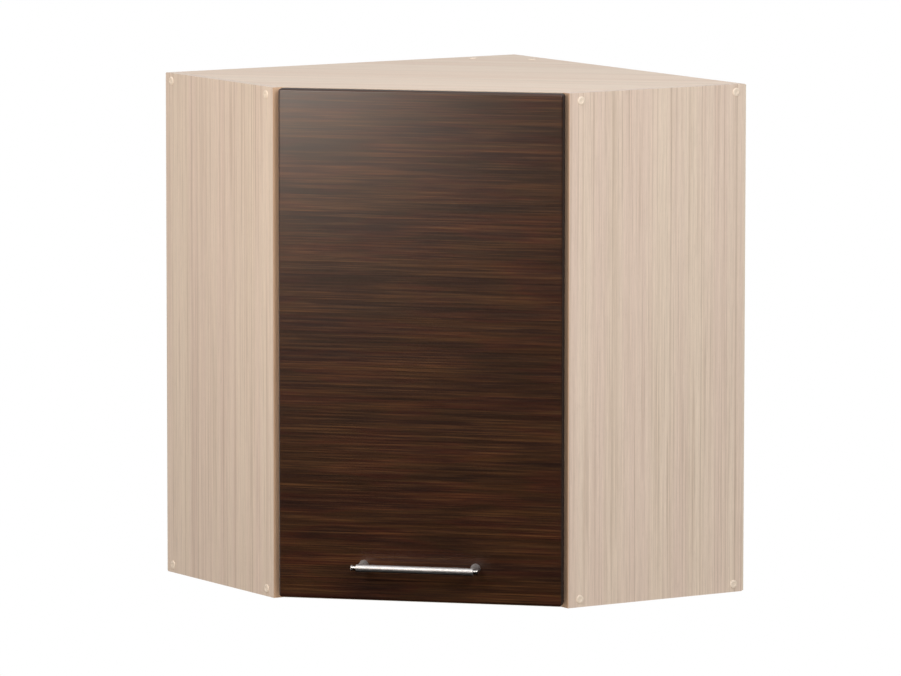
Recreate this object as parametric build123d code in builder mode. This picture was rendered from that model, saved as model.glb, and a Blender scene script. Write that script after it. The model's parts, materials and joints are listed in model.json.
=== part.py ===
from build123d import *
import os
from math import atan, cos, degrees, hypot, radians, sin, sqrt

# Diagonal corner wall cabinet, in millimetres, +Z up. It stands in a room corner: the left wall is the
# plane of the lowest x, the right wall the plane of the highest y, and the door faces +x and -y.
# The origin is under the middle of the whole cabinet, level with its base.

# ---------------------------------------------------------------- carcass
wall_run = 596.0            # along each wall, from the room corner to the outer face of a side panel
height = 720.0
side_depth = 298.0          # from the wall to the front edge of a side panel
board = 16.0                # side panels, shelf and rear corner board
end_board = 22.0            # top and bottom panels
back_sheet = 3.0            # hardboard back panels
back_inset = 1.0            # back panels stay this far inside the carcass outline
edge_band = 1.0             # edge banding on the front edges
corner_board_distance = 90.5   # room corner to the middle of the rear corner board, on the diagonal
corner_board_gap = 0.3      # between that board's rear edges and the back panels

shelf_underside = 352.0
shelf_setback = 22.0        # shelf's front edge behind the line of the inner front corners
shelf_gap = 0.5             # round the shelf, at the sides and the back

# ---------------------------------------------------------------- fasteners
fit = 0.05                  # radial clearance of a screw or pin in its hole
screw_length = 50.0         # assembly screws
screw_head_radius = 5.0
screw_head_depth = 3.0
screw_radius = 3.5          # over the thread
screw_front_inset = 20.0    # from the front edge of a side panel
screw_rear_inset = 17.5     # from the wall
screw_socket_flats = 4.0
screw_socket_depth = 4.0
corner_screw_spacing = 88.0
cap_radius = 6.0
cap_rise = 1.2
cap_slope = 1.6             # width of the sloping rim
cap_stem_length = 3.0

pin_hole_radius = 2.5       # shelf pin holes
pin_hole_depth = 10.0
pin_rear_inset = 60.0       # from the wall
pin_front_inset = 58.0      # from the front edge of a side panel
pin_spigot_length = 9.0
pin_collar_radius = 5.0
pin_collar = 1.5
pin_seat_length = 9.0       # tab under the shelf
pin_seat_width = 9.0
pin_seat_thickness = 2.5
corner_pin_spacing = 100.0

# ---------------------------------------------------------------- door
door_lap = 3.1              # over the inner front corner of each side panel
door_board = 16.0
door_bottom = 3.5           # above the cabinet's base
door_top = 0.5              # below the cabinet's top
door_centre = 1.0           # the door's middle, to the right of the diagonal of the cabinet
door_gap = 4.6              # between the door's back and the inner front corners of the side panels
door_corner_radius = 4.0
door_edge_radius = 3.0      # all round the front face

bumper_radius = 4.5
bumper_inset = 12.0         # from the door's free edge
bumper_clearance = 0.3
bumper_chamfer = 1.2

handle_spacing = 160.0      # between the two screws
handle_height = 53.0        # bar's axis above the base of the cabinet
handle_standoff = 32.0      # bar's axis from the door's front
bar_radius = 5.2
bar_length = 167.0
tip_length = 7.5
tip_neck_radius = 3.2
tip_end_radius = 4.4
tip_spigot_radius = 2.0
tip_spigot_length = 4.0
post_foot_radius = 7.0
post_top_radius = 3.4
post_spigot_radius = 2.2
post_spigot_length = 3.0
tip_flare = 2.5             # length of the wider end of a tip
tip_round = 0.6
handle_hole_gap = 0.25      # radial, in the door
handle_screw_radius = 2.0
handle_screw_length = 26.0
handle_screw_head_radius = 4.0
handle_screw_head = 2.4

# ---------------------------------------------------------------- concealed hinges
hinge_inset = 100.0         # hinge's middle from the top and bottom of the door
cup_edge = 20.6             # cup's middle from the door's hinged edge
cup_radius = 17.5
cup_depth = 12.4
cup_wall = 0.8
cup_hole_spare = 0.4        # the hole in the door is this much deeper than the cup
cup_bottom_chamfer = 0.6
flange = 0.9
flange_radius = 19.0
flange_ear_radius = 6.0
cup_screw_spacing = 48.0
cup_screw_offset = 6.0      # screws from the cup's middle, away from the hinged edge
cup_screw_radius = 1.75
cup_screw_length = 13.0
cup_screw_head_radius = 3.4
cup_screw_head = 1.6
screw_head_taper = 0.75     # of the small screws: radius on top of a head over that at its seat

# Places in a hinge are (u, w): u along the door from its hinged edge, w into the cabinet from its back.
outer_arm_pin = (33.7, 6.7)
outer_bend = (26.7, -9.4)
outer_cup_pin = (9.6, -8.55)
inner_arm_pin = (18.9, 15.8)
inner_bend = (21.7, -8.2)
inner_cup_pin = (8.0, -4.2)
hinge_pin_radius = 1.2
pin_head = 0.4              # arm pins stand out of the arm by this much
link_width = 3.4
link_eye_radius = 2.1
link_sheet = 1.2
link_web = 1.0
outer_web = (0.5, 0.8)      # where a link's web starts and ends, from its bend to its arm pin
inner_web = (0.1, 0.85)
link_side_gap = 0.4         # between the two links, and between the outer link and the arm
inner_link_half = 3.4       # half the overall width of the inner link
inner_pin_half = 3.6        # half the length of the inner link's cup pin
arm_sheet = 1.2
arm_width = 8.0             # of the cheeks, seen from above
arm_height = 12.0           # top of the arm above the side panel
arm_front = 12.0            # straight part of the arm, back from the panel's front corner
arm_back = 64.0
plate_line = 37.0           # mounting plate's screws, back from the front edge of the side panel
plate_screw_spacing = 32.0
plate_wing = 2.5
plate_wing_radius = 7.0
plate_front = 16.0          # plate's ridge, back from the panel's front corner
plate_back = 60.0
plate_ridge_gap = 0.1       # between the ridge and the cheeks of the arm
plate_chamfer = 3.0
plate_screw_radius = 2.5
plate_screw_length = 13.0
plate_screw_head_radius = 4.2
plate_screw_head = 1.6
fixing_screw_back = 50.0
fixing_screw_radius = 2.9
fixing_screw_head_radius = 4.6
side_screw_back = 27.0
side_screw_radius = 2.4
side_screw_head_radius = 3.6
arm_screw_head = 1.8
arm_screw_length = 8.0

# ---------------------------------------------------------------- cabinet hangers
hanger_length = 42.0
hanger_thickness = 18.0
hanger_height = 62.0
hanger_drop = 8.0           # below the top panel
hanger_corner = 3.0
hanger_chamfer = 1.5
hook_sheet = 2.5
hook_width = 12.0
hook_lip = 12.0
hook_level = 18.0           # underside of the tongue above the hanger's middle
hook_tongue = 26.0
hook_recess = 0.3           # lip inside the cabinet's rear plane, as delivered
hook_gap = 0.3
hook_slot_gap = 3.0         # round the hook in the back panel
hanger_dowel_radius = 5.0
hanger_dowel_length = 11.0
hanger_dowel_spacing = 32.0
hanger_screw_radius = 3.0
hanger_screw_length = 12.0
hanger_screw_head_radius = 3.6
hanger_screw_head = 1.2
hanger_screw_drop = 8.0     # lower screw, below the hanger's middle
hanger_screw_rise = 18.0    # upper screw, above it

# ---------------------------------------------------------------- places worked out from the above
half = (wall_run + cap_rise) / 2
corner_n = -half * sqrt(2)                                        # room corner, along the diagonal
inner_corner_s = (wall_run - board - side_depth) / sqrt(2)
front_n = (side_depth + wall_run - board - 2 * half) / sqrt(2)    # line of the inner front corners
door_back = front_n + door_gap
door_front = door_back + door_board
door_width = 2 * (inner_corner_s + door_lap)
door_height = height - door_bottom - door_top
door_left = door_centre - door_width / 2
door_middle = door_bottom + door_height / 2
inner_y = half - wall_run + board                                 # left side panel's inner face
corner_board_front = corner_n + corner_board_distance + board / 2
handle_post_lines = (door_centre - handle_spacing / 2, door_centre + handle_spacing / 2)
bumper_levels = (end_board / 2, height - end_board / 2)
hook_along = wall_run - board - hanger_thickness / 2      # hook's middle, from the other wall
cup_screw_places = [(cup_screw_offset, -cup_screw_spacing / 2), (cup_screw_offset, cup_screw_spacing / 2)]
outer_link_half = inner_link_half + link_side_gap + link_sheet
outer_pin_half = outer_link_half + link_side_gap
arm_inner_half = outer_link_half + link_side_gap
screw_cone = 2 * degrees(atan((screw_head_radius - screw_radius) / screw_head_depth))
hinge_levels = (door_bottom + hinge_inset, door_bottom + door_height - hinge_inset)
hanger_level = height - end_board - hanger_drop - hanger_height / 2
hook_top = hanger_level + hook_level + hook_sheet
pin_level = shelf_underside - pin_seat_thickness / 2


def plan(left, right):
    """Plan point by its distances from the left wall and from the right wall."""
    return (-half + left, half - right)


def diagonal(s, n):
    """Plan point by s, across the cabinet to the right, and n, out along its diagonal."""
    return ((s + n) / sqrt(2), (s - n) / sqrt(2))


def chord(n):
    """The two plan points where the line at n meets the inner faces of the side panels."""
    return (inner_y + n * sqrt(2), inner_y), (-inner_y, -inner_y - n * sqrt(2))


def rear_chord(n, gap):
    """The two plan points where the line at n meets the back panels, less a gap."""
    reach = (n - corner_n) * sqrt(2) - back_sheet - gap
    return plan(reach, back_sheet + gap), plan(back_sheet + gap, reach)


def door_plane(n):
    """Upright plane across the diagonal, seen from the front: x to the right, y up."""
    return Plane(origin=(*diagonal(0, n), 0), x_dir=(1, 1, 0), z_dir=(1, -1, 0))


def at_hinge(u, w):
    return diagonal(door_left + u, door_back - w)


def hinge_plane(z):
    """Level plane at the hinged edge, with x along the door and y into the cabinet."""
    return Plane(origin=(*at_hinge(0, 0), z), x_dir=(1, 1, 0), z_dir=(0, 0, 1))


def along_side(back, rise):
    """Hinge place (u, w) by distance back from the side panel's front corner, and off its face."""
    corner_u = -inner_corner_s - door_left
    return (corner_u + (rise - back) / sqrt(2), door_gap + (rise + back) / sqrt(2))


def cup_plane(z):
    """Plane on the back of the door at a hinge cup, facing into the cabinet."""
    return Plane(origin=(*at_hinge(cup_edge, 0), z), x_dir=(1, 1, 0), z_dir=(-1, 1, 0))


def plate_plane(z, back):
    """Plane on the left side panel's inner face, back from its front edge, with x to the front."""
    return Plane(
        origin=(*plan(side_depth - back, wall_run - board), z), x_dir=(1, 0, 0), z_dir=(0, 1, 0)
    )


def handle_plane(s, n, facing=1):
    """Upright plane at the height of the handle, facing out of the door, or into it with -1."""
    return Plane(
        origin=(*diagonal(s, n), handle_height), x_dir=(facing, facing, 0), z_dir=(facing, -facing, 0)
    )


def bar_end_plane(side):
    """Plane on the right (1) or left (-1) end of the handle bar, facing outwards."""
    end = diagonal(door_centre + side * bar_length / 2, door_front + handle_standoff)
    return Plane(origin=(*end, handle_height), z_dir=(side, side, 0))


def between(start, end, share):
    """Point part of the way from start to end."""
    return (start[0] + share * (end[0] - start[0]), start[1] + share * (end[1] - start[1]))


def beside(run, distance):
    """The points of a path that keeps its distance on the left of a run of straight lines."""
    headings = [(Vector(*b) - Vector(*a)).normalized() for a, b in zip(run, run[1:])]
    points = []
    for point, before, after in zip(run, headings[:1] + headings, headings + headings[-1:]):
        middle = (before + after).normalized()
        outward = middle.rotate(Axis.Z, 90) * (distance / middle.dot(before))
        points.append((point[0] + outward.X, point[1] + outward.Y))
    return points


mid_plane = Plane(origin=(0, 0, 0), x_dir=(1, -1, 0), z_dir=(1, 1, 0))

# Seats of the assembly screws: each plane lies on the outer surface and faces out.
left_screw_seats = [
    Plane(origin=(*plan(along, wall_run), z), z_dir=(0, -1, 0))
    for along in (screw_rear_inset, side_depth - screw_front_inset)
    for z in (end_board / 2, height - end_board / 2)
]
right_screw_seats = [
    Plane(origin=(*plan(wall_run, along), z), z_dir=(1, 0, 0))
    for along in (screw_rear_inset, side_depth - screw_front_inset)
    for z in (end_board / 2, height - end_board / 2)
]
top_screw_seats = [
    Plane(origin=(*diagonal(s, corner_n + corner_board_distance), height), z_dir=(0, 0, 1))
    for s in (-corner_screw_spacing / 2, corner_screw_spacing / 2)
]
bottom_screw_seats = [
    Plane(origin=(*diagonal(s, corner_n + corner_board_distance), 0), z_dir=(0, 0, -1))
    for s in (-corner_screw_spacing / 2, corner_screw_spacing / 2)
]
screw_seats = left_screw_seats + right_screw_seats + top_screw_seats + bottom_screw_seats
capped_seats = left_screw_seats + right_screw_seats + top_screw_seats


# Mouths of the shelf pin holes in the left side panel and in the rear corner board, with y up.
left_pin_mouths = [
    Plane(origin=(*plan(along, wall_run - board), pin_level), x_dir=(-1, 0, 0), z_dir=(0, 1, 0))
    for along in (pin_rear_inset, side_depth - pin_front_inset)
]
corner_pin_mouths = [
    Plane(origin=(*diagonal(s, corner_board_front), pin_level), x_dir=(1, 1, 0), z_dir=(1, -1, 0))
    for s in (-corner_pin_spacing / 2, corner_pin_spacing / 2)
]

# Places on the left side panel: hanger and its hook, with x away from the left wall and y up.
hanger_face = Plane(
    origin=(*plan(back_sheet + hanger_length / 2, wall_run - board), hanger_level),
    x_dir=(-1, 0, 0),
    z_dir=(0, 1, 0),
)
hanger_screw_seats = [
    Plane(origin=(*plan(back_sheet + hanger_length, hook_along), hanger_level + dz), z_dir=(1, 0, 0))
    for dz in (-hanger_screw_drop, hanger_screw_rise)
]
hook_plane = Plane(origin=(*plan(0, hook_along), 0), x_dir=(1, 0, 0), z_dir=(0, -1, 0))
left_hook_slot = Plane(
    origin=(*plan(0, hook_along), hook_top - hook_lip / 2), x_dir=(0, 1, 0), z_dir=(-1, 0, 0)
)

# Mouths of the handle posts' holes in the bar.
post_mouths = [
    handle_plane(s, door_front + handle_standoff - bar_radius, -1) for s in handle_post_lines
]

# ---------------------------------------------------------------- side panels
with BuildPart() as plain_side:
    with BuildSketch(Plane.XY):
        with BuildLine():
            Polyline(
                plan(back_sheet, wall_run),
                plan(side_depth - edge_band, wall_run),
                plan(side_depth - edge_band, wall_run - board),
                plan(back_sheet, wall_run - board),
                close=True,
            )
        make_face()
    extrude(amount=height)
    with Locations(*left_screw_seats):
        CounterSinkHole(
            radius=screw_radius + fit,
            counter_sink_radius=screw_head_radius + fit,
            depth=board,
            counter_sink_angle=screw_cone,
        )
    with Locations(*left_pin_mouths):
        Hole(radius=pin_hole_radius, depth=pin_hole_depth)
    with Locations(hanger_face):
        with GridLocations(0, hanger_dowel_spacing, 1, 2):
            Hole(radius=hanger_dowel_radius + fit, depth=hanger_dowel_length + 1)

with BuildPart() as left_side_panel:
    add(plain_side.part)
    with Locations(*(plate_plane(z, plate_line) for z in hinge_levels)):
        with GridLocations(0, plate_screw_spacing, 1, 2):
            Hole(radius=plate_screw_radius + fit, depth=plate_screw_length - plate_wing + 1)

with BuildPart() as right_side_panel:
    mirror(plain_side.part, about=mid_plane)


# ---------------------------------------------------------------- top, bottom, shelf, corner board
def end_panel(base, seats):
    """Top or bottom panel: five edges, square at the room corner, drilled for its screws."""
    with BuildPart() as panel:
        with BuildSketch(Plane.XY.offset(base)):
            with BuildLine():
                left_front, right_front = chord(front_n - edge_band)
                Polyline(
                    plan(back_sheet, back_sheet),
                    plan(back_sheet, wall_run - board),
                    left_front,
                    right_front,
                    plan(wall_run - board, back_sheet),
                    close=True,
                )
            make_face()
        extrude(amount=end_board)
        with Locations(*(left_screw_seats + right_screw_seats)):
            Hole(radius=screw_radius + fit, depth=screw_length + 1)
        with Locations(*seats):
            CounterSinkHole(
                radius=screw_radius + fit,
                counter_sink_radius=screw_head_radius + fit,
                depth=end_board,
                counter_sink_angle=screw_cone,
            )
    return panel


top_panel = end_panel(height - end_board, top_screw_seats)
bottom_panel = end_panel(0, bottom_screw_seats)

with BuildPart() as shelf:
    with BuildSketch(Plane.XY.offset(shelf_underside)):
        with BuildLine():
            front_left, front_right = chord(front_n - shelf_setback - edge_band)
            rear_right, rear_left = rear_chord(corner_board_front + shelf_gap, shelf_gap)
            gap = shelf_gap
            Polyline(
                rear_left,
                plan(back_sheet + gap, wall_run - board - gap),
                (front_left[0] + gap, front_left[1] + gap),
                (front_right[0] - gap, front_right[1] - gap),
                plan(wall_run - board - gap, back_sheet + gap),
                rear_right,
                close=True,
            )
        make_face()
    extrude(amount=board)

corner_board_half = corner_board_distance - board / 2 - back_sheet * sqrt(2) - corner_board_gap
with BuildPart() as rear_corner_board:
    with BuildSketch(door_plane(corner_board_front - board)):
        with Locations((0, height / 2)):
            Rectangle(2 * corner_board_half, height - 2 * end_board)
    extrude(amount=board)
    with Locations(*(top_screw_seats + bottom_screw_seats)):
        Hole(radius=screw_radius + fit, depth=screw_length + 1)
    with Locations(*corner_pin_mouths):
        Hole(radius=pin_hole_radius, depth=pin_hole_depth)


# ---------------------------------------------------------------- edge bands
def band_strip(front, base, thickness, gap=0.0):
    """Edge band of a board whose banded front edge is the line at n = front."""
    with BuildPart() as band:
        with BuildSketch(Plane.XY.offset(base)):
            with BuildLine():
                rear_left, rear_right = chord(front - edge_band)
                front_left, front_right = chord(front)
                Polyline(
                    (rear_left[0] + gap, rear_left[1] + gap),
                    (front_left[0] + gap, front_left[1] + gap),
                    (front_right[0] - gap, front_right[1] - gap),
                    (rear_right[0] - gap, rear_right[1] - gap),
                    close=True,
                )
            make_face()
        extrude(amount=thickness)
    return band


with BuildPart() as left_side_edge_band:
    with BuildSketch(Plane.XY):
        with BuildLine():
            Polyline(
                plan(side_depth - edge_band, wall_run),
                plan(side_depth, wall_run),
                plan(side_depth, wall_run - board),
                plan(side_depth - edge_band, wall_run - board),
                close=True,
            )
        make_face()
    extrude(amount=height)

with BuildPart() as right_side_edge_band:
    mirror(left_side_edge_band.part, about=mid_plane)

top_edge_band = band_strip(front_n, height - end_board, end_board)
bottom_edge_band = band_strip(front_n, 0, end_board)
shelf_edge_band = band_strip(front_n - shelf_setback, shelf_underside, board, shelf_gap)

# ---------------------------------------------------------------- back panels
with BuildPart() as left_back_panel:
    with BuildSketch(Plane(origin=(-half, 0, 0), x_dir=(0, 1, 0), z_dir=(1, 0, 0))):
        with BuildLine():
            Polyline(
                (half, back_inset),
                (half - wall_run + back_inset, back_inset),
                (half - wall_run + back_inset, height - back_inset),
                (half, height - back_inset),
                close=True,
            )
        make_face()
    extrude(amount=back_sheet)
    with BuildSketch(left_hook_slot):
        RectangleRounded(hook_width + 2 * hook_slot_gap, hook_lip + hook_sheet + 2 * hook_slot_gap, 2)
    extrude(amount=-back_sheet, mode=Mode.SUBTRACT)

with BuildPart() as right_back_panel:
    mirror(left_back_panel.part, about=mid_plane)
    with BuildSketch(Plane(origin=(-half, 0, 0), x_dir=(0, 1, 0), z_dir=(1, 0, 0))):
        with Locations((half - back_sheet, height / 2)):
            Rectangle(4 * back_sheet, 2 * height)
    extrude(amount=back_sheet, mode=Mode.SUBTRACT)

# ---------------------------------------------------------------- assembly screws, caps, shelf pins
with BuildPart() as assembly_screw:
    with BuildSketch(Plane.XZ):
        with BuildLine():
            Polyline(
                (0, 0),
                (screw_head_radius, 0),
                (screw_radius, -screw_head_depth),
                (screw_radius, -screw_length),
                (0, -screw_length),
                close=True,
            )
        make_face()
    revolve(axis=Axis.Z)
    with BuildSketch(Plane.XY):
        RegularPolygon(screw_socket_flats / 2, 6, major_radius=False)
    extrude(amount=-screw_socket_depth, mode=Mode.SUBTRACT)

with BuildPart() as assembly_screws:
    with Locations(*screw_seats):
        add(assembly_screw.part)

with BuildPart() as screw_cap:
    with BuildSketch(Plane.XZ):
        with BuildLine():
            Polyline(
                (0, 0),
                (cap_radius, 0),
                (cap_radius - cap_slope, cap_rise),
                (0, cap_rise),
                close=True,
            )
        make_face()
    revolve(axis=Axis.Z)
    with BuildSketch(Plane.XY):
        RegularPolygon(screw_socket_flats / 2 - fit, 6, major_radius=False)
    extrude(amount=-cap_stem_length)

with BuildPart() as screw_caps:
    with Locations(*capped_seats):
        add(screw_cap.part)

# One pin, with its axis along z, its collar at z = 0 and its flat tab at the top, towards y.
with BuildPart() as shelf_pin:
    with Locations((0, 0, -pin_spigot_length)):
        Cylinder(
            pin_hole_radius - fit, pin_spigot_length, align=(Align.CENTER, Align.CENTER, Align.MIN)
        )
    with BuildSketch(Plane.XY):
        Circle(pin_collar_radius)
        with Locations((0, pin_seat_thickness / 2)):
            Rectangle(
                2 * pin_collar_radius,
                2 * pin_collar_radius,
                align=(Align.CENTER, Align.MIN),
                mode=Mode.SUBTRACT,
            )
    extrude(amount=pin_collar)
    with BuildSketch(Plane.XY):
        Rectangle(pin_seat_width, pin_seat_thickness)
    extrude(amount=pin_seat_length)

with BuildPart() as left_pins:
    with Locations(*left_pin_mouths):
        add(shelf_pin.part)

with BuildPart() as shelf_pins:
    add(left_pins.part)
    mirror(left_pins.part, about=mid_plane)
    with Locations(*corner_pin_mouths):
        add(shelf_pin.part)

# ---------------------------------------------------------------- door and handle
with BuildPart() as door_panel:
    with BuildSketch(door_plane(door_back)):
        with Locations((door_centre, door_middle)):
            RectangleRounded(door_width, door_height, door_corner_radius)
    extrude(amount=door_board)
    front_face = door_panel.faces().sort_by(Axis((0, 0, 0), (1, -1, 0)))[-1]
    fillet(front_face.edges(), radius=door_edge_radius)
    with Locations(*(cup_plane(z) for z in hinge_levels)):
        Hole(radius=cup_radius + fit, depth=cup_depth + cup_hole_spare)
    with Locations(*(cup_plane(z) for z in hinge_levels)):
        with Locations(*cup_screw_places):
            Hole(radius=cup_screw_radius + fit, depth=cup_screw_length)
    with Locations(*(handle_plane(s, door_front) for s in handle_post_lines)):
        Hole(radius=handle_screw_radius + handle_hole_gap, depth=door_board)

with BuildPart() as handle_bar:
    with Locations(bar_end_plane(1)):
        Cylinder(bar_radius, bar_length, align=(Align.CENTER, Align.CENTER, Align.MAX))
    with Locations(bar_end_plane(-1), bar_end_plane(1)):
        Hole(radius=tip_spigot_radius + fit, depth=tip_spigot_length + fit)
    with Locations(*post_mouths):
        Hole(radius=post_spigot_radius + fit, depth=post_spigot_length + fit)

with BuildPart() as handle_tip:
    with BuildSketch(Plane.XZ):
        with BuildLine():
            Polyline(
                (0, -tip_spigot_length),
                (tip_spigot_radius, -tip_spigot_length),
                (tip_spigot_radius, 0),
                (tip_neck_radius, 0),
                (tip_neck_radius, tip_length - tip_flare),
                (tip_end_radius, tip_length - tip_flare + tip_round),
                (tip_end_radius, tip_length - tip_round),
                (tip_end_radius - tip_round, tip_length),
                (0, tip_length),
                close=True,
            )
        make_face()
    revolve(axis=Axis.Z)

with BuildPart() as handle_end_tips:
    with Locations(bar_end_plane(-1), bar_end_plane(1)):
        add(handle_tip.part)

with BuildPart() as handle_posts:
    for s in handle_post_lines:
        with BuildSketch(handle_plane(s, door_front)):
            Circle(post_foot_radius)
        with BuildSketch(handle_plane(s, door_front + handle_standoff)):
            Circle(post_top_radius)
        loft()
    with Locations(bar_end_plane(1).offset(tip_length)):
        Cylinder(
            bar_radius + fit,
            bar_length + 2 * tip_length,
            align=(Align.CENTER, Align.CENTER, Align.MAX),
            mode=Mode.SUBTRACT,
        )
    for s in handle_post_lines:
        with BuildSketch(handle_plane(s, door_front + handle_standoff - bar_radius - post_top_radius)):
            Circle(post_spigot_radius)
        extrude(amount=post_top_radius + post_spigot_length)
    with Locations(*(handle_plane(s, door_front, -1) for s in handle_post_lines)):
        Hole(radius=handle_screw_radius + fit, depth=handle_screw_length - door_board + 1)

with BuildPart() as handle_screws:
    for s in handle_post_lines:
        with BuildSketch(handle_plane(s, door_back)):
            Circle(handle_screw_radius)
        extrude(amount=handle_screw_length)
        with BuildSketch(handle_plane(s, door_back)):
            Circle(handle_screw_head_radius)
        extrude(amount=-handle_screw_head)

with BuildPart() as door_bumpers:
    with BuildSketch(door_plane(door_back)):
        with Locations(*((door_left + door_width - bumper_inset, z) for z in bumper_levels)):
            Circle(bumper_radius)
    extrude(amount=-(door_gap - bumper_clearance))
    chamfer(
        door_bumpers.edges().filter_by(GeomType.CIRCLE).group_by(Axis((0, 0, 0), (1, -1, 0)))[0],
        length=bumper_chamfer,
    )


# ---------------------------------------------------------------- concealed hinges
# Each piece is drawn once with the hinge's middle at z = 0, and put in place at both levels.
with BuildPart() as hinge_cup:
    with BuildSketch(cup_plane(0)):
        Circle(cup_radius)
    extrude(amount=-cup_depth)
    chamfer(hinge_cup.edges().group_by(Axis((0, 0, 0), (1, -1, 0)))[-1], length=cup_bottom_chamfer)
    with BuildSketch(cup_plane(0)):
        Circle(flange_radius)
        with Locations((cup_screw_offset, 0)):
            SlotCenterToCenter(cup_screw_spacing, 2 * flange_ear_radius, rotation=90)
    extrude(amount=flange)
    with Locations(cup_plane(0).offset(flange)):
        Hole(radius=cup_radius - cup_wall, depth=flange + cup_depth - cup_wall)
        with Locations(*cup_screw_places):
            Hole(radius=cup_screw_radius + fit, depth=flange)

with BuildPart() as cup_screw:
    Cylinder(
        cup_screw_radius, cup_screw_length, align=(Align.CENTER, Align.CENTER, Align.MAX)
    )
    Cone(
        cup_screw_head_radius,
        screw_head_taper * cup_screw_head_radius,
        cup_screw_head,
        align=(Align.CENTER, Align.CENTER, Align.MIN),
    )

with BuildPart() as cup_screws:
    with Locations(*(cup_plane(z).offset(flange) for z in hinge_levels)):
        with Locations(*cup_screw_places):
            add(cup_screw.part)


def hinge_link(cup_pin, bend, arm_pin, half_width, web):
    """Cranked link: two cheeks with an eye at each end, joined by a web between bend and arm pin."""
    with BuildPart() as link:
        with BuildSketch(hinge_plane(half_width - link_sheet)):
            with BuildLine():
                Polyline(cup_pin, bend, arm_pin)
            trace(line_width=link_width)
            with Locations(cup_pin, arm_pin):
                Circle(link_eye_radius)
            with Locations(cup_pin, arm_pin):
                Circle(hinge_pin_radius + fit, mode=Mode.SUBTRACT)
        extrude(amount=link_sheet)
        mirror(about=Plane.XY)
        with BuildSketch(hinge_plane(link_sheet - half_width)):
            with BuildLine():
                Line(between(bend, arm_pin, web[0]), between(bend, arm_pin, web[1]))
            trace(line_width=link_web)
        extrude(amount=2 * (half_width - link_sheet))
    return link


outer_link = hinge_link(outer_cup_pin, outer_bend, outer_arm_pin, outer_link_half, outer_web)
inner_link = hinge_link(inner_cup_pin, inner_bend, inner_arm_pin, inner_link_half, inner_web)


def hinge_pin(place, half_length):
    with BuildPart() as pin:
        with BuildSketch(hinge_plane(-half_length)):
            with Locations(place):
                Circle(hinge_pin_radius)
        extrude(amount=2 * half_length)
    return pin


outer_link_pin = hinge_pin(outer_cup_pin, outer_pin_half)
inner_link_pin = hinge_pin(inner_cup_pin, inner_pin_half)

arm_run = (
    along_side(arm_back, arm_height - arm_width / 2),
    along_side(arm_front, arm_height - arm_width / 2),
    inner_arm_pin,
    outer_arm_pin,
)
with BuildPart() as hinge_arm:
    with BuildSketch(hinge_plane(arm_inner_half)):
        with BuildLine():
            Polyline(*arm_run)
        trace(line_width=arm_width)
        with Locations(outer_arm_pin, inner_arm_pin):
            Circle(arm_width / 2)
        with Locations(outer_arm_pin, inner_arm_pin):
            Circle(hinge_pin_radius + fit, mode=Mode.SUBTRACT)
    extrude(amount=arm_sheet)
    mirror(about=Plane.XY)
    with BuildSketch(hinge_plane(-arm_inner_half)):
        with BuildLine():
            Polyline(*beside(arm_run, (arm_width - arm_sheet) / 2))
        trace(line_width=arm_sheet)
    extrude(amount=2 * arm_inner_half)
    with Locations(plate_plane(0, fixing_screw_back).offset(arm_height)):
        Hole(radius=fixing_screw_radius + fit, depth=arm_sheet)
    with Locations(plate_plane(0, side_screw_back).offset(arm_height)):
        Hole(radius=side_screw_radius + fit, depth=arm_sheet)

with BuildPart() as mounting_plate:
    with BuildSketch(plate_plane(0, plate_line)):
        SlotCenterToCenter(plate_screw_spacing, 2 * plate_wing_radius, rotation=90)
    extrude(amount=plate_wing)
    with Locations(plate_plane(0, (plate_front + plate_back) / 2)):
        Box(
            plate_back - plate_front,
            2 * (arm_inner_half - plate_ridge_gap),
            arm_height - arm_sheet,
            align=(Align.CENTER, Align.CENTER, Align.MIN),
        )
    ridge_ends = (
        mounting_plate.faces()
        .filter_by(Axis.Y)
        .sort_by(Axis.Y)[-1]
        .edges()
        .filter_by(Axis.Z)
    )
    chamfer(ridge_ends, length=plate_chamfer)
    with Locations(plate_plane(0, plate_line).offset(plate_wing)):
        with GridLocations(0, plate_screw_spacing, 1, 2):
            Hole(radius=plate_screw_radius + fit, depth=plate_wing)
    with Locations(plate_plane(0, fixing_screw_back).offset(arm_height)):
        Hole(radius=fixing_screw_radius + fit, depth=arm_screw_length + 1)
    with Locations(plate_plane(0, side_screw_back).offset(arm_height)):
        Hole(radius=side_screw_radius + fit, depth=arm_screw_length + 1)


def headed_screw(radius, length, head_radius, head):
    """Pan-head screw with its seat at z = 0, its head above and its shank below."""
    with BuildPart() as screw:
        Cylinder(radius, length, align=(Align.CENTER, Align.CENTER, Align.MAX))
        Cone(
            head_radius, screw_head_taper * head_radius, head, align=(Align.CENTER, Align.CENTER, Align.MIN)
        )
    return screw


plate_screw = headed_screw(
    plate_screw_radius, plate_screw_length, plate_screw_head_radius, plate_screw_head
)
fixing_screw = headed_screw(
    fixing_screw_radius, arm_screw_length, fixing_screw_head_radius, arm_screw_head
)
side_screw = headed_screw(
    side_screw_radius, arm_screw_length, side_screw_head_radius, arm_screw_head
)

with BuildPart() as plate_screws:
    with Locations(*(plate_plane(z, plate_line).offset(plate_wing) for z in hinge_levels)):
        with GridLocations(0, plate_screw_spacing, 1, 2):
            add(plate_screw.part)

with BuildPart() as hinge_adjusting_screws:
    with Locations(*(plate_plane(z, fixing_screw_back).offset(arm_height) for z in hinge_levels)):
        add(fixing_screw.part)
    with Locations(*(plate_plane(z, side_screw_back).offset(arm_height) for z in hinge_levels)):
        add(side_screw.part)

with BuildPart() as hinge_arm_pins:
    for z in hinge_levels:
        with BuildSketch(hinge_plane(z - arm_inner_half - arm_sheet - pin_head)):
            with Locations(outer_arm_pin, inner_arm_pin):
                Circle(hinge_pin_radius)
        extrude(amount=2 * (arm_inner_half + arm_sheet + pin_head))

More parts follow.
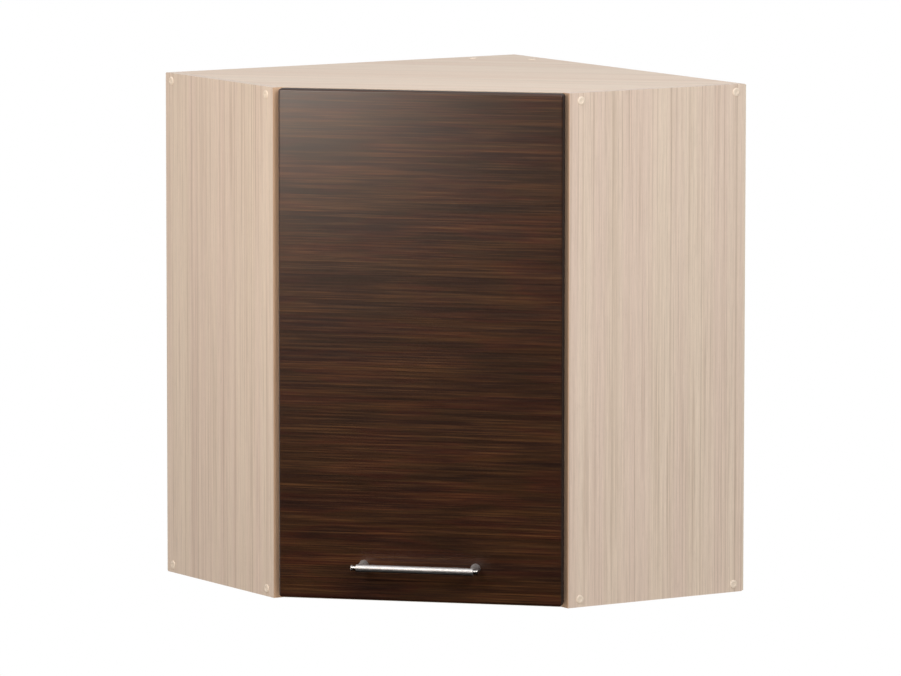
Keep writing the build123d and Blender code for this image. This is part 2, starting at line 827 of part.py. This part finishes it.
hinge_pieces = {}
hinge_drawings = {
    "hinge_cup": hinge_cup,
    "outer_link": outer_link,
    "inner_link": inner_link,
    "outer_link_pin": outer_link_pin,
    "inner_link_pin": inner_link_pin,
    "hinge_arm": hinge_arm,
    "mounting_plate": mounting_plate,
}
for level_name, z in zip(("lower", "upper"), hinge_levels):
    for drawing_name, drawing in hinge_drawings.items():
        with BuildPart() as placed:
            with Locations((0, 0, z)):
                add(drawing.part)
        hinge_pieces[f"{level_name}_{drawing_name}"] = placed

# ---------------------------------------------------------------- cabinet hangers
with BuildPart() as left_hanger_housing:
    with BuildSketch(hanger_face):
        RectangleRounded(hanger_length, hanger_height, hanger_corner)
    extrude(amount=hanger_thickness)
    chamfer(left_hanger_housing.faces().sort_by(Axis.Y)[-1].edges(), length=hanger_chamfer)
    with BuildSketch(hanger_face):
        with GridLocations(0, hanger_dowel_spacing, 1, 2):
            Circle(hanger_dowel_radius)
    extrude(amount=-hanger_dowel_length)
    with BuildSketch(hook_plane):
        with Locations((back_sheet, hook_top + hook_gap)):
            Rectangle(
                hook_tongue + hook_gap, hook_sheet + 2 * hook_gap, align=(Align.MIN, Align.MAX)
            )
    extrude(amount=hook_width / 2 + hook_gap, both=True, mode=Mode.SUBTRACT)
    with Locations(*hanger_screw_seats):
        Hole(radius=hanger_screw_radius + fit, depth=hanger_screw_length + 1)

with BuildPart() as right_hanger_housing:
    mirror(left_hanger_housing.part, about=mid_plane)

with BuildPart() as left_hanger_hook:
    with BuildSketch(hook_plane):
        with Locations((hook_recess, hook_top)):
            Rectangle(
                back_sheet + hook_tongue - hook_recess, hook_sheet, align=(Align.MIN, Align.MAX)
            )
            Rectangle(hook_sheet, hook_lip, align=(Align.MIN, Align.MAX))
    extrude(amount=hook_width / 2, both=True)
    outer_bend_edge = left_hanger_hook.edges().filter_by(Axis.Y).group_by(Axis.X)[0].sort_by(Axis.Z)
    fillet(outer_bend_edge[-1], radius=hook_sheet * 0.8)

with BuildPart() as right_hanger_hook:
    mirror(left_hanger_hook.part, about=mid_plane)

hanger_screw = headed_screw(
    hanger_screw_radius, hanger_screw_length, hanger_screw_head_radius, hanger_screw_head
)
with BuildPart() as left_hanger_screws:
    with Locations(*hanger_screw_seats):
        add(hanger_screw.part)

with BuildPart() as hanger_adjusting_screws:
    add(left_hanger_screws.part)
    mirror(left_hanger_screws.part, about=mid_plane)

# ---------------------------------------------------------------- one file for each piece
pieces = {
    "left_side_panel": left_side_panel,
    "right_side_panel": right_side_panel,
    "top_panel": top_panel,
    "bottom_panel": bottom_panel,
    "shelf": shelf,
    "rear_corner_board": rear_corner_board,
    "left_side_edge_band": left_side_edge_band,
    "right_side_edge_band": right_side_edge_band,
    "top_edge_band": top_edge_band,
    "bottom_edge_band": bottom_edge_band,
    "shelf_edge_band": shelf_edge_band,
    "left_back_panel": left_back_panel,
    "right_back_panel": right_back_panel,
    "assembly_screws": assembly_screws,
    "screw_caps": screw_caps,
    "shelf_pins": shelf_pins,
    "left_hanger_housing": left_hanger_housing,
    "right_hanger_housing": right_hanger_housing,
    "left_hanger_hook": left_hanger_hook,
    "right_hanger_hook": right_hanger_hook,
    "hanger_adjusting_screws": hanger_adjusting_screws,
    "door_panel": door_panel,
    "handle_bar": handle_bar,
    "handle_end_tips": handle_end_tips,
    "handle_posts": handle_posts,
    "handle_screws": handle_screws,
    "door_bumpers": door_bumpers,
    "cup_screws": cup_screws,
    "hinge_arm_pins": hinge_arm_pins,
    "plate_screws": plate_screws,
    "hinge_adjusting_screws": hinge_adjusting_screws,
    **hinge_pieces,
}

os.makedirs("parts", exist_ok=True)
for name, piece in pieces.items():
    piece.part.label = name
    export_step(piece.part, f"parts/{name}.step")
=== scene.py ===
import json
import math

import bmesh
import bpy
from mathutils import Matrix, Vector


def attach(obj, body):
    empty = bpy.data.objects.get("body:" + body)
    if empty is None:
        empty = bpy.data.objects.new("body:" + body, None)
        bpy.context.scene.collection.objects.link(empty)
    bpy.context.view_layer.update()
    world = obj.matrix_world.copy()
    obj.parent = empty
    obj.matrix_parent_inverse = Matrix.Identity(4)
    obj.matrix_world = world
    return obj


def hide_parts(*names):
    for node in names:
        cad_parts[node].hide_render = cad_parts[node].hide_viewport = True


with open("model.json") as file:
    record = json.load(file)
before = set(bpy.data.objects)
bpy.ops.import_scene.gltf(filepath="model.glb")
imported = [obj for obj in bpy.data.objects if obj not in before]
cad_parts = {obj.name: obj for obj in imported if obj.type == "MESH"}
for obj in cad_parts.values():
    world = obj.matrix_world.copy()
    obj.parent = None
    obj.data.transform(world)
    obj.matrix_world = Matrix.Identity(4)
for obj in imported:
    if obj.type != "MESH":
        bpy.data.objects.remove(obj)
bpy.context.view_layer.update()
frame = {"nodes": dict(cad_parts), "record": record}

# ------------------------------------------------------------------ units and directions of the object
# Lengths are in metres, or in millimetres where they are multiplied by MM. The origin is under the
# middle of the cabinet, level with its base. The left wall is at the lowest x, the right one at the
# highest y.
MM = 0.001
UP = Vector((0, 0, 1))
OUT = Vector((1, -1, 0)).normalized()       # out through the door
ACROSS = Vector((1, 1, 0)).normalized()     # along the door, to the right seen from the front
DOOR_TURN = math.radians(45)                # from the x axis to the line of the door


# ------------------------------------------------------------------ materials
def linear(red, green, blue):
    """A colour seen in the photograph, 0 to 255, as the linear colour that a shader takes."""
    def one(value):
        value /= 255
        return value / 12.92 if value <= 0.04045 else ((value + 0.055) / 1.055) ** 2.4
    return (one(red), one(green), one(blue), 1.0)


def shifted(colour, step):
    """A colour of the photograph made lighter or darker by the same step in each channel, made linear."""
    return linear(*[channel + step for channel in colour])


class Finish:
    """A node material: a principled shader with patterns that are fixed to the piece."""

    def __init__(self, name, metallic=0.0, specular=0.5):
        self.material = bpy.data.materials.new(name)
        self.material.use_nodes = True
        self.tree = self.material.node_tree
        self.tree.nodes.clear()
        self.shader = self.node("ShaderNodeBsdfPrincipled")
        out = self.node("ShaderNodeOutputMaterial")
        self.tree.links.new(self.shader.outputs[0], out.inputs[0])
        self.shader.inputs["Metallic"].default_value = metallic
        self.shader.inputs["Specular IOR Level"].default_value = specular
        coordinates = self.node("ShaderNodeTexCoord")
        self.place, self.facing = coordinates.outputs["Object"], coordinates.outputs["Normal"]

    def node(self, kind, **settings):
        made = self.tree.nodes.new(kind)
        for key, value in settings.items():
            setattr(made, key, value)
        return made

    def put(self, socket, value):
        """Link a socket's value, or set a constant one."""
        if isinstance(value, bpy.types.NodeSocket):
            self.tree.links.new(value, socket)
        else:
            socket.default_value = value

    def door_place(self):
        """The place on the piece, turned so that its first axis runs along the door."""
        turn = self.node("ShaderNodeVectorRotate", rotation_type="AXIS_ANGLE")
        self.put(turn.inputs["Vector"], self.place)
        turn.inputs["Axis"].default_value = UP
        turn.inputs["Angle"].default_value = -DOOR_TURN
        return turn.outputs[0]

    def stretched(self, place, scale, shift=(0, 0, 0)):
        mapping = self.node("ShaderNodeMapping")
        self.put(mapping.inputs["Vector"], place)
        mapping.inputs["Scale"].default_value = scale
        mapping.inputs["Location"].default_value = shift
        return mapping.outputs[0]

    def noise(self, place, detail=2.0, roughness=0.5, scale=1.0):
        noise = self.node("ShaderNodeTexNoise")
        self.put(noise.inputs["Vector"], place)
        noise.inputs["Scale"].default_value = scale
        noise.inputs["Detail"].default_value = detail
        noise.inputs["Roughness"].default_value = roughness
        return noise.outputs[0]

    def between(self, factor, low, high, bottom=0.0, top=1.0):
        """factor's range low to high, mapped to bottom to top."""
        span = self.node("ShaderNodeMapRange")
        self.put(span.inputs["Value"], factor)
        span.inputs["From Min"].default_value = low
        span.inputs["From Max"].default_value = high
        span.inputs["To Min"].default_value = bottom
        span.inputs["To Max"].default_value = top
        return span.outputs[0]

    def ramp(self, factor, stops):
        ramp = self.node("ShaderNodeValToRGB")
        self.put(ramp.inputs[0], factor)
        elements = ramp.color_ramp.elements
        while len(elements) < len(stops):
            elements.new(0.5)
        for element, (position, colour) in zip(elements, stops):
            element.position = position
            element.color = colour
        return ramp.outputs[0]

    def mix(self, factor, first, second, blend="MIX"):
        mix = self.node("ShaderNodeMix", data_type="RGBA", blend_type=blend)
        colour_a, colour_b, colour_out = 6, 7, 2    # the node's colour sockets
        self.put(mix.inputs[0], factor)
        self.put(mix.inputs[colour_a], first)
        self.put(mix.inputs[colour_b], second)
        return mix.outputs[colour_out]

    def maths(self, operation, first, second=0.0):
        node = self.node("ShaderNodeMath", operation=operation)
        self.put(node.inputs[0], first)
        self.put(node.inputs[1], second)
        return node.outputs[0]

    def along(self, direction):
        """1 where the surface faces along the direction, 0 sideways to it and -1 against it."""
        turn = self.node("ShaderNodeVectorMath", operation="DOT_PRODUCT")
        self.put(turn.inputs[0], self.facing)
        turn.inputs[1].default_value = direction
        return turn.outputs["Value"]

    def bump(self, height, distance, strength=0.5):
        bump = self.node("ShaderNodeBump")
        bump.inputs["Strength"].default_value = strength
        bump.inputs["Distance"].default_value = distance
        self.put(bump.inputs["Height"], height)
        self.put(self.shader.inputs["Normal"], bump.outputs[0])

    def finish(self, colour, roughness):
        self.put(self.shader.inputs["Base Color"], colour)
        self.put(self.shader.inputs["Roughness"], roughness)
        return self.material


def pale_laminate(name, level, shift, pale, rose, dusk):
    """Light laminate striped by straight grain, which is upright, or along the door on a level board."""
    f = Finish(name, specular=0.35)
    place = f.door_place() if level else f.place

    def grain(across, length):
        return f.stretched(place, (length, across, across) if level else (across, across, length), shift)

    broad = f.noise(grain(30, 0.6), detail=2, roughness=0.55)
    stripe = f.noise(grain(135, 1.1), detail=3, roughness=0.7)
    line = f.noise(grain(360, 2.2), detail=2, roughness=0.6)
    score = f.noise(grain(230, 0.35), detail=1, roughness=0.4)
    fibre = f.noise(grain(950, 26), detail=3, roughness=0.65)
    pore = f.noise(grain(1900, 90), detail=1, roughness=0.5)
    light, shade, deep = shifted(pale, 9), shifted(dusk, -16), shifted(dusk, -26)
    colour = f.ramp(broad, [(0.38, linear(*pale)), (0.62, linear(*rose))])
    colour = f.mix(f.between(stripe, 0.50, 0.66, 0.0, 0.42), colour, linear(*dusk))
    colour = f.mix(f.between(stripe, 0.45, 0.32, 0.0, 0.36), colour, light)
    colour = f.mix(f.between(line, 0.55, 0.66, 0.0, 0.5), colour, shade)
    colour = f.mix(f.between(line, 0.44, 0.34, 0.0, 0.3), colour, light)
    colour = f.mix(f.between(score, 0.63, 0.68, 0.0, 0.45), colour, shade)
    colour = f.mix(1.0, colour, f.between(fibre, 0.3, 0.7, 0.91, 1.07), "MULTIPLY")
    colour = f.mix(f.between(pore, 0.64, 0.74, 0.0, 0.3), colour, deep)
    f.bump(f.maths("ADD", fibre, f.maths("MULTIPLY", line, 0.8)), 0.06 * MM, 0.6)
    return f.finish(colour, f.between(fibre, 0.3, 0.7, 0.46, 0.58))


def banding(name, level, middle, streak):
    """Thin edge band: its grain runs along it, upright or level, with a faint sheen."""
    f = Finish(name, specular=0.3)
    place = f.door_place() if level else f.place
    coarse = (3, 260, 260) if level else (260, 260, 3)
    fine = (18, 1400, 1400) if level else (1400, 1400, 18)
    stripe = f.noise(f.stretched(place, coarse), detail=3, roughness=0.6)
    fibre = f.noise(f.stretched(place, fine), detail=2)
    colour = f.ramp(stripe, [(0.35, linear(*middle)), (0.66, linear(*streak))])
    colour = f.mix(1.0, colour, f.between(fibre, 0.3, 0.7, 0.94, 1.05), "MULTIPLY")
    f.bump(fibre, 0.05 * MM, 0.5)
    return f.finish(colour, f.between(fibre, 0.3, 0.7, 0.5, 0.62))


def dark_laminate():
    """Dark brown laminate with fine level streaks and a soft gloss, plainer and duller on its edges, which
    take a plain darker brown that is partly painted shade.
    """
    f = Finish("dark_wood_laminate", specular=0.74)
    place = f.door_place()
    patch = f.noise(f.stretched(place, (4.5, 4.5, 32)), detail=2, roughness=0.5)
    hue = f.noise(f.stretched(place, (6, 6, 48), (2.3, 0, 5.1)), detail=2, roughness=0.6)
    streak = f.noise(f.stretched(place, (3.5, 3.5, 190)), detail=3, roughness=0.6)
    thread = f.noise(f.stretched(place, (7, 7, 640)), detail=3, roughness=0.7)
    hair = f.noise(f.stretched(place, (10, 10, 1500)), detail=2, roughness=0.6)
    base = f.ramp(hue, [
        (0.34, linear(45, 18, 3)), (0.46, linear(49, 24, 2)),
        (0.56, linear(55, 20, 3)), (0.68, linear(43, 16, 4))])
    base = f.mix(f.between(streak, 0.50, 0.70, 0.0, 0.42), base, linear(84, 50, 17))
    base = f.mix(f.between(streak, 0.47, 0.30, 0.0, 0.30), base, linear(33, 14, 5))
    base = f.mix(f.between(thread, 0.51, 0.70, 0.0, 0.62), base, linear(95, 59, 22))
    base = f.mix(f.between(thread, 0.48, 0.30, 0.0, 0.58), base, linear(30, 12, 4))
    base = f.mix(1.0, base, f.between(patch, 0.34, 0.68, 0.70, 1.18), "MULTIPLY")
    base = f.mix(1.0, base, f.between(hair, 0.3, 0.7, 0.55, 1.42), "MULTIPLY")
    # Edges get a plain dark brown. It is the edge's own colour, made darker as painted shade for the
    # door's side that lies in shadow.
    face = f.between(f.maths("ABSOLUTE", f.along(OUT)), 0.5, 0.7)
    base = f.mix(face, linear(36, 19, 10), base)
    f.bump(f.maths("ADD", thread, hair), 0.05 * MM, 0.5)
    face_roughness = f.between(thread, 0.3, 0.7, 0.31, 0.38)
    added_at_edges = f.between(face, 0.0, 1.0, 0.4, 0.0)
    return f.finish(base, f.maths("ADD", face_roughness, added_at_edges))


def hardboard():
    """Thin pressed board: raw felted fibres outside and at its edges, painted pale on its inner face."""
    f = Finish("hardboard_sheet", specular=0.25)
    felt = f.noise(f.place, detail=5, roughness=0.7, scale=420)
    speck = f.noise(f.place, detail=2, roughness=0.6, scale=1900)
    raw = f.mix(f.between(felt, 0.40, 0.68, 0.0, 0.7), linear(186, 154, 122), linear(150, 118, 88))
    raw = f.mix(f.between(speck, 0.60, 0.74, 0.0, 0.6), raw, linear(206, 178, 147))
    paint = f.mix(f.between(felt, 0.35, 0.70, 0.0, 0.5), linear(221, 209, 193), linear(211, 197, 180))
    inner = f.between(f.along(OUT), 0.3, 0.5)
    f.bump(felt, 0.2 * MM, 0.5)
    return f.finish(f.mix(inner, raw, paint), f.between(felt, 0.3, 0.7, 0.58, 0.76))


def moulded(name, colour, other, roughness=0.42, through=0.0):
    """Moulded plastic with a faint spark-eroded surface, translucent where light is let through."""
    f = Finish(name, specular=0.4)
    grain = f.noise(f.place, detail=3, roughness=0.6, scale=1500)
    drift = f.noise(f.place, detail=2, roughness=0.5, scale=60)
    tint = f.ramp(drift, [(0.3, linear(*colour)), (0.7, linear(*other))])
    if through:
        f.shader.inputs["Subsurface Weight"].default_value = through
        f.shader.inputs["Subsurface Radius"].default_value = (4 * MM, 3 * MM, 2 * MM)
        f.shader.inputs["Subsurface Scale"].default_value = 0.5
    f.bump(grain, 0.08 * MM, 0.5)
    return f.finish(tint, f.between(grain, 0.3, 0.7, roughness - 0.06, roughness + 0.08))


def metal(name, colour, other, smoothest, roughest, scratch, brushed=False):
    """Metal with fine lines along the door where it is brushed, or else a fine grain."""
    f = Finish(name, metallic=1.0)
    place, scale = (f.door_place(), (60, 2600, 2600)) if brushed else (f.place, (900, 900, 900))
    line = f.noise(f.stretched(place, scale), detail=3, roughness=0.6)
    cloud = f.noise(f.place, detail=3, roughness=0.55, scale=140)
    tint = f.ramp(cloud, [(0.32, linear(*colour)), (0.68, linear(*other))])
    tint = f.mix(1.0, tint, f.between(line, 0.3, 0.7, 0.94, 1.04), "MULTIPLY")
    f.bump(line, scratch, 0.4)
    return f.finish(tint, f.between(line, 0.3, 0.7, smoothest, roughest))


side_laminate = pale_laminate(
    "pale_laminate_upright", False, (0, 0, 0), (219, 203, 187), (216, 197, 184), (196, 176, 160))
level_laminate = pale_laminate(
    "pale_laminate_level", True, (3.1, 7.7, 1.9), (222, 204, 187), (219, 197, 179), (208, 188, 169))
side_band = banding("side_edge_band", False, (209, 178, 151), (193, 160, 133))
level_band = banding("level_edge_band", True, (212, 193, 174), (198, 178, 158))
dark = dark_laminate()
sheet = hardboard()
cap_plastic = moulded("cap_plastic", (232, 218, 203), (226, 211, 194))
white_plastic = moulded("housing_plastic", (232, 230, 224), (224, 221, 213), 0.38)
bumper_plastic = moulded("bumper_plastic", (222, 222, 218), (206, 206, 200), 0.3, 0.3)
satin = metal("satin_bar_metal", (228, 227, 228), (217, 216, 216), 0.44, 0.54, 0.03 * MM, brushed=True)
bright = metal("bright_tip_metal", (226, 225, 224), (214, 213, 212), 0.20, 0.28, 0.01 * MM)
nickel = metal("nickel_plate", (205, 202, 196), (190, 187, 181), 0.2, 0.32, 0.02 * MM)
zinc = metal("zinc_plate", (196, 200, 206), (178, 182, 190), 0.3, 0.46, 0.03 * MM)

FINISHES = {
    "pale_board": side_laminate, "side_edge_band": side_band, "pale_edge_band": level_band,
    "hardboard": sheet, "dark_wood": dark, "cap_plastic": cap_plastic, "white_plastic": white_plastic,
    "soft_bumper": bumper_plastic, "satin_metal": satin, "nickel_steel": nickel, "zinc_steel": zinc,
}
OWN_FINISH = {
    "top_panel": level_laminate, "bottom_panel": level_laminate, "shelf": level_laminate,
    "handle_end_tips": bright, "handle_posts": satin,
}
slot_of = {part["node"]: part["material_slot"] for part in frame["record"]["subparts"]}
for name, node in frame["nodes"].items():
    finish = OWN_FINISH.get(name) or FINISHES[slot_of[name]]
    if not node.material_slots:
        node.data.materials.append(None)
    for place in node.material_slots:
        place.material = finish


# ------------------------------------------------------------------ small pieces in mesh code
def basis(origin, z, x):
    """Matrix of a place with its own z and x directions."""
    z, x = Vector(z).normalized(), Vector(x).normalized()
    y = z.cross(x)
    return Matrix(((x.x, y.x, z.x, origin[0]), (x.y, y.y, z.y, origin[1]), (x.z, y.z, z.z, origin[2]),
                   (0, 0, 0, 1)))


def turned_piece(name, profile, places, steps, finish, body):
    """A lathe-turned form at each place. Its profile, in (radius, height), starts and ends on the axis."""
    bm = bmesh.new()
    for place in places:
        rings = []
        for radius, rise in profile:
            if radius == 0:
                rings.append([bm.verts.new(place @ Vector((0, 0, rise)))])
            else:
                rings.append([
                    bm.verts.new(place @ Vector((radius * math.cos(a), radius * math.sin(a), rise)))
                    for a in (2 * math.pi * k / steps for k in range(steps))
                ])
        for low, high in zip(rings, rings[1:]):
            for k in range(steps):
                m = (k + 1) % steps
                if len(low) == 1:
                    face = (low[0], high[m], high[k])
                elif len(high) == 1:
                    face = (low[k], low[m], high[0])
                else:
                    face = (low[k], low[m], high[m], high[k])
                bm.faces.new(face)
    bmesh.ops.recalc_face_normals(bm, faces=bm.faces)
    mesh = bpy.data.meshes.new(name)
    bm.to_mesh(mesh)
    bm.free()
    mesh.shade_smooth()
    mesh.set_sharp_from_angle(angle=math.radians(38))
    piece = bpy.data.objects.new(name, mesh)
    bpy.context.scene.collection.objects.link(piece)
    piece.data.materials.append(finish)
    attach(piece, body)
    return piece


# The cabinet's sizes that place these pieces, in mm
HALF = 298.6                    # from the origin to either wall
WALL_RUN = 596                  # along each wall, to the outer face of a side panel
HEIGHT = 720
SIDE_BOARD = 16                 # side panels
END_BOARD = 22                  # top and bottom panels
END_BOARD_MIDDLES = (END_BOARD / 2, HEIGHT - END_BOARD / 2)
SIDE_SCREWS = (17.5, 278)       # from the wall, in a side panel
CORNER_BOARD = 90.5             # from the room corner to the middle of the rear corner board
CORNER_SCREWS = (-44, 44)       # from that middle, along the board
CORNER_NAILS = 128              # along the wall, where the rear corner board meets it
NAIL_UPRIGHTS = (WALL_RUN - SIDE_BOARD / 2, CORNER_NAILS)
NAIL_ROWS = [40 + 128 * k for k in range(6)]
NAIL_COLUMNS = [55 + 145 * k for k in range(4)]


def spot(from_left_wall, from_right_wall, z):
    """Point at distances in mm from the two walls and from the cabinet's base."""
    return ((from_left_wall - HALF) * MM, (HALF - from_right_wall) * MM, z * MM)


screw_spots = [(along, z) for along in SIDE_SCREWS for z in END_BOARD_MIDDLES]
cap_places = [basis(spot(along, WALL_RUN, z), (0, -1, 0), (1, 0, 0)) for along, z in screw_spots]
cap_places += [basis(spot(WALL_RUN, along, z), (1, 0, 0), (0, 1, 0)) for along, z in screw_spots]
corner_board_top = Vector(spot(0, 0, HEIGHT)) + OUT * CORNER_BOARD * MM
cap_places += [basis(corner_board_top + ACROSS * along * MM, UP, ACROSS) for along in CORNER_SCREWS]
cap_profile = [(radius * MM, rise * MM) for radius, rise in (
    (0, -2.6), (1.7, -2.6), (1.9, -2.2), (1.9, 0),                  # stem, in the screw's socket
    (6.0, 0), (6.0, 0.35), (5.9, 0.55), (5.55, 0.8), (4.8, 1.02), (3.6, 1.16), (3.0, 1.18),     # dome
    (2.75, 1.1), (2.55, 0.78), (2.35, 0.7), (1.2, 0.74), (0, 0.76))]    # dimple
caps = turned_piece(
    "moulded_screw_caps", cap_profile, cap_places, 40, cap_plastic, "cabinet")
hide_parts("screw_caps")

nail_spots = [(along, z) for z in NAIL_ROWS for along in NAIL_UPRIGHTS]
nail_spots += [(along, z) for along in NAIL_COLUMNS for z in END_BOARD_MIDDLES]
nail_places = [basis(spot(0, along, z), (-1, 0, 0), (0, 1, 0)) for along, z in nail_spots]
nail_places += [basis(spot(along, 0, z), (0, 1, 0), (1, 0, 0)) for along, z in nail_spots]
nail_profile = [(radius * MM, rise * MM) for radius, rise in (
    (0, -1.0), (0.8, -1.0), (0.8, 0.05), (2.0, 0.1), (2.05, 0.25), (1.7, 0.5), (0.9, 0.66), (0, 0.7))]
turned_piece("back_panel_nails", nail_profile, nail_places, 16, zinc, "cabinet")

# ------------------------------------------------------------------ camera, where the photograph was taken
camera = bpy.data.objects.new("camera", bpy.data.cameras.new("camera"))
bpy.context.scene.collection.objects.link(camera)
azimuth, pitch, roll = math.radians(57.4716), math.radians(6.9122), math.radians(0.0514)
level = math.cos(pitch)
back = Vector((math.sin(azimuth) * level, -math.cos(azimuth) * level, math.sin(pitch)))
right = UP.cross(back).normalized()
view = Matrix((right, back.cross(right), back)).transposed() @ Matrix.Rotation(roll, 3, "Z")
camera.matrix_world = Matrix.Translation((8.7394, -5.5778, 1.606)) @ view.to_4x4()
camera.data.lens = 293.5
camera.data.sensor_width = 36.0
camera.data.clip_start, camera.data.clip_end = 0.1, 200
bpy.context.scene.camera = camera


# ------------------------------------------------------------------ light, floor and surroundings
def area_light(name, place, aim, size, power, colour=(1, 1, 1)):
    """A rectangular lamp, in metres and watts, turned to its aim and hidden from the camera."""
    light = bpy.data.lights.new(name, "AREA")
    light.shape = "RECTANGLE"
    light.size, light.size_y = size
    light.energy = power
    light.color = colour
    lamp = bpy.data.objects.new(name, light)
    bpy.context.scene.collection.objects.link(lamp)
    lamp.location = place
    lamp.rotation_mode = "QUATERNION"
    lamp.rotation_quaternion = (Vector(aim) - Vector(place)).to_track_quat("-Z", "Y")
    lamp.visible_camera = False
    return lamp


fill_colour = (1.0, 0.985, 0.965)
area_light("key", (0.50, -1.38, 0.84), (-0.8, -0.25, 0.55), (0.62, 0.45), 8.7, (1.0, 0.88, 0.765))
overhead = area_light("overhead", (0.8, -0.6, 3.2), (0.1, -0.1, 0.4), (3.0, 3.0), 36)
overhead.visible_glossy = False     # it would put a grey glare on the door's top edge
area_light("back_fill", (-2.0, 2.0, 0.3), (0.0, 0.0, 0.3), (1.6, 0.7), 26, fill_colour)
area_light("right_fill", (2.65, -0.5, 1.7), (0.25, 0.0, 0.5), (1.2, 1.2), 37, fill_colour)


def studio_white(tree, lit, white):
    """The camera, gloss and glass see the second shader; everything else is lit by the first."""
    path = tree.nodes.new("ShaderNodeLightPath")
    seen = path.outputs["Is Camera Ray"]
    for ray in ("Is Glossy Ray", "Is Transmission Ray"):
        either = tree.nodes.new("ShaderNodeMath")
        either.operation = "MAXIMUM"
        tree.links.new(seen, either.inputs[0])
        tree.links.new(path.outputs[ray], either.inputs[1])
        seen = either.outputs[0]
    choice = tree.nodes.new("ShaderNodeMixShader")
    tree.links.new(seen, choice.inputs[0])
    tree.links.new(lit, choice.inputs[1])
    tree.links.new(white, choice.inputs[2])
    return choice.outputs[0]


# The world is seen as white, and lights the object at a plain, dimmer level.
world = bpy.data.worlds.new("studio")
bpy.context.scene.world = world
world.use_nodes = True
tree = world.node_tree
tree.nodes.clear()
dim, white = tree.nodes.new("ShaderNodeBackground"), tree.nodes.new("ShaderNodeBackground")
dim.inputs["Color"].default_value = (1.0, 0.99, 0.975, 1)
dim.inputs["Strength"].default_value = 0.42
white.inputs["Color"].default_value = (1, 1, 1, 1)
out = tree.nodes.new("ShaderNodeOutputWorld")
tree.links.new(studio_white(tree, dim.outputs[0], white.outputs[0]), out.inputs[0])


def stage_sheet(name, corners, material):
    """A flat sheet of the studio, given by its corners."""
    mesh = bpy.data.meshes.new(name)
    mesh.from_pydata([tuple(c) for c in corners], [], [range(len(corners))])
    made = bpy.data.objects.new(name, mesh)
    made.data.materials.append(material)
    bpy.context.scene.collection.objects.link(made)
    return made


FLOOR = -1.4                    # the cabinet hangs above it
pale_floor = bpy.data.materials.new("pale_floor")
pale_floor.use_nodes = True
tree = pale_floor.node_tree
lit = tree.nodes["Principled BSDF"]
lit.inputs["Base Color"].default_value = (0.88, 0.80, 0.70, 1)
lit.inputs["Roughness"].default_value = 0.7
white = tree.nodes.new("ShaderNodeEmission")
out = tree.nodes["Material Output"]
tree.links.new(studio_white(tree, lit.outputs[0], white.outputs[0]), out.inputs[0])
stage_sheet("floor", [(x, y, FLOOR) for x, y in ((-40, -40), (40, -40), (40, 40), (-40, 40))], pale_floor)

# Dark cards, seen by gloss alone, keep the lower part of the door from mirroring the white studio.
card_black = bpy.data.materials.new("card_black")
card_black.use_nodes = True
black = card_black.node_tree.nodes["Principled BSDF"]
black.inputs["Base Color"].default_value = (0, 0, 0, 1)
black.inputs["Specular IOR Level"].default_value = 0.0
CARD_FOOT = FLOOR + 0.01
LOW_CARD_LEVEL = FLOOR + 0.02


def upright_card(name, origin, along, outline):
    """An upright card, its outline in (distance along from the origin, height)."""
    return stage_sheet(name, [origin + along * distance + UP * z for distance, z in outline], card_black)


cards = [
    upright_card("front_card", Vector((0.956, -1.41, 0)), Vector((0.843, 0.538, 0)), (
        (-3.0, CARD_FOOT), (3.5, CARD_FOOT), (3.5, 3.2), (0.75, 1.5), (-0.1, 0.82), (-3.0, 0.4))),
    upright_card("flank_card", Vector((1.35, 0.80, 0)), Vector((-0.538, 0.843, 0)), (
        (-0.9, CARD_FOOT), (1.4, CARD_FOOT), (1.4, 1.4), (-0.9, 1.4))),
    stage_sheet(
        "low_card", [(x, y, LOW_CARD_LEVEL) for x, y in ((-2, -3), (3, -3), (3, 2), (-2, 2))], card_black),
]
for card in cards:
    card.visible_camera = card.visible_diffuse = card.visible_shadow = False

bpy.context.scene.view_settings.view_transform = "Standard"
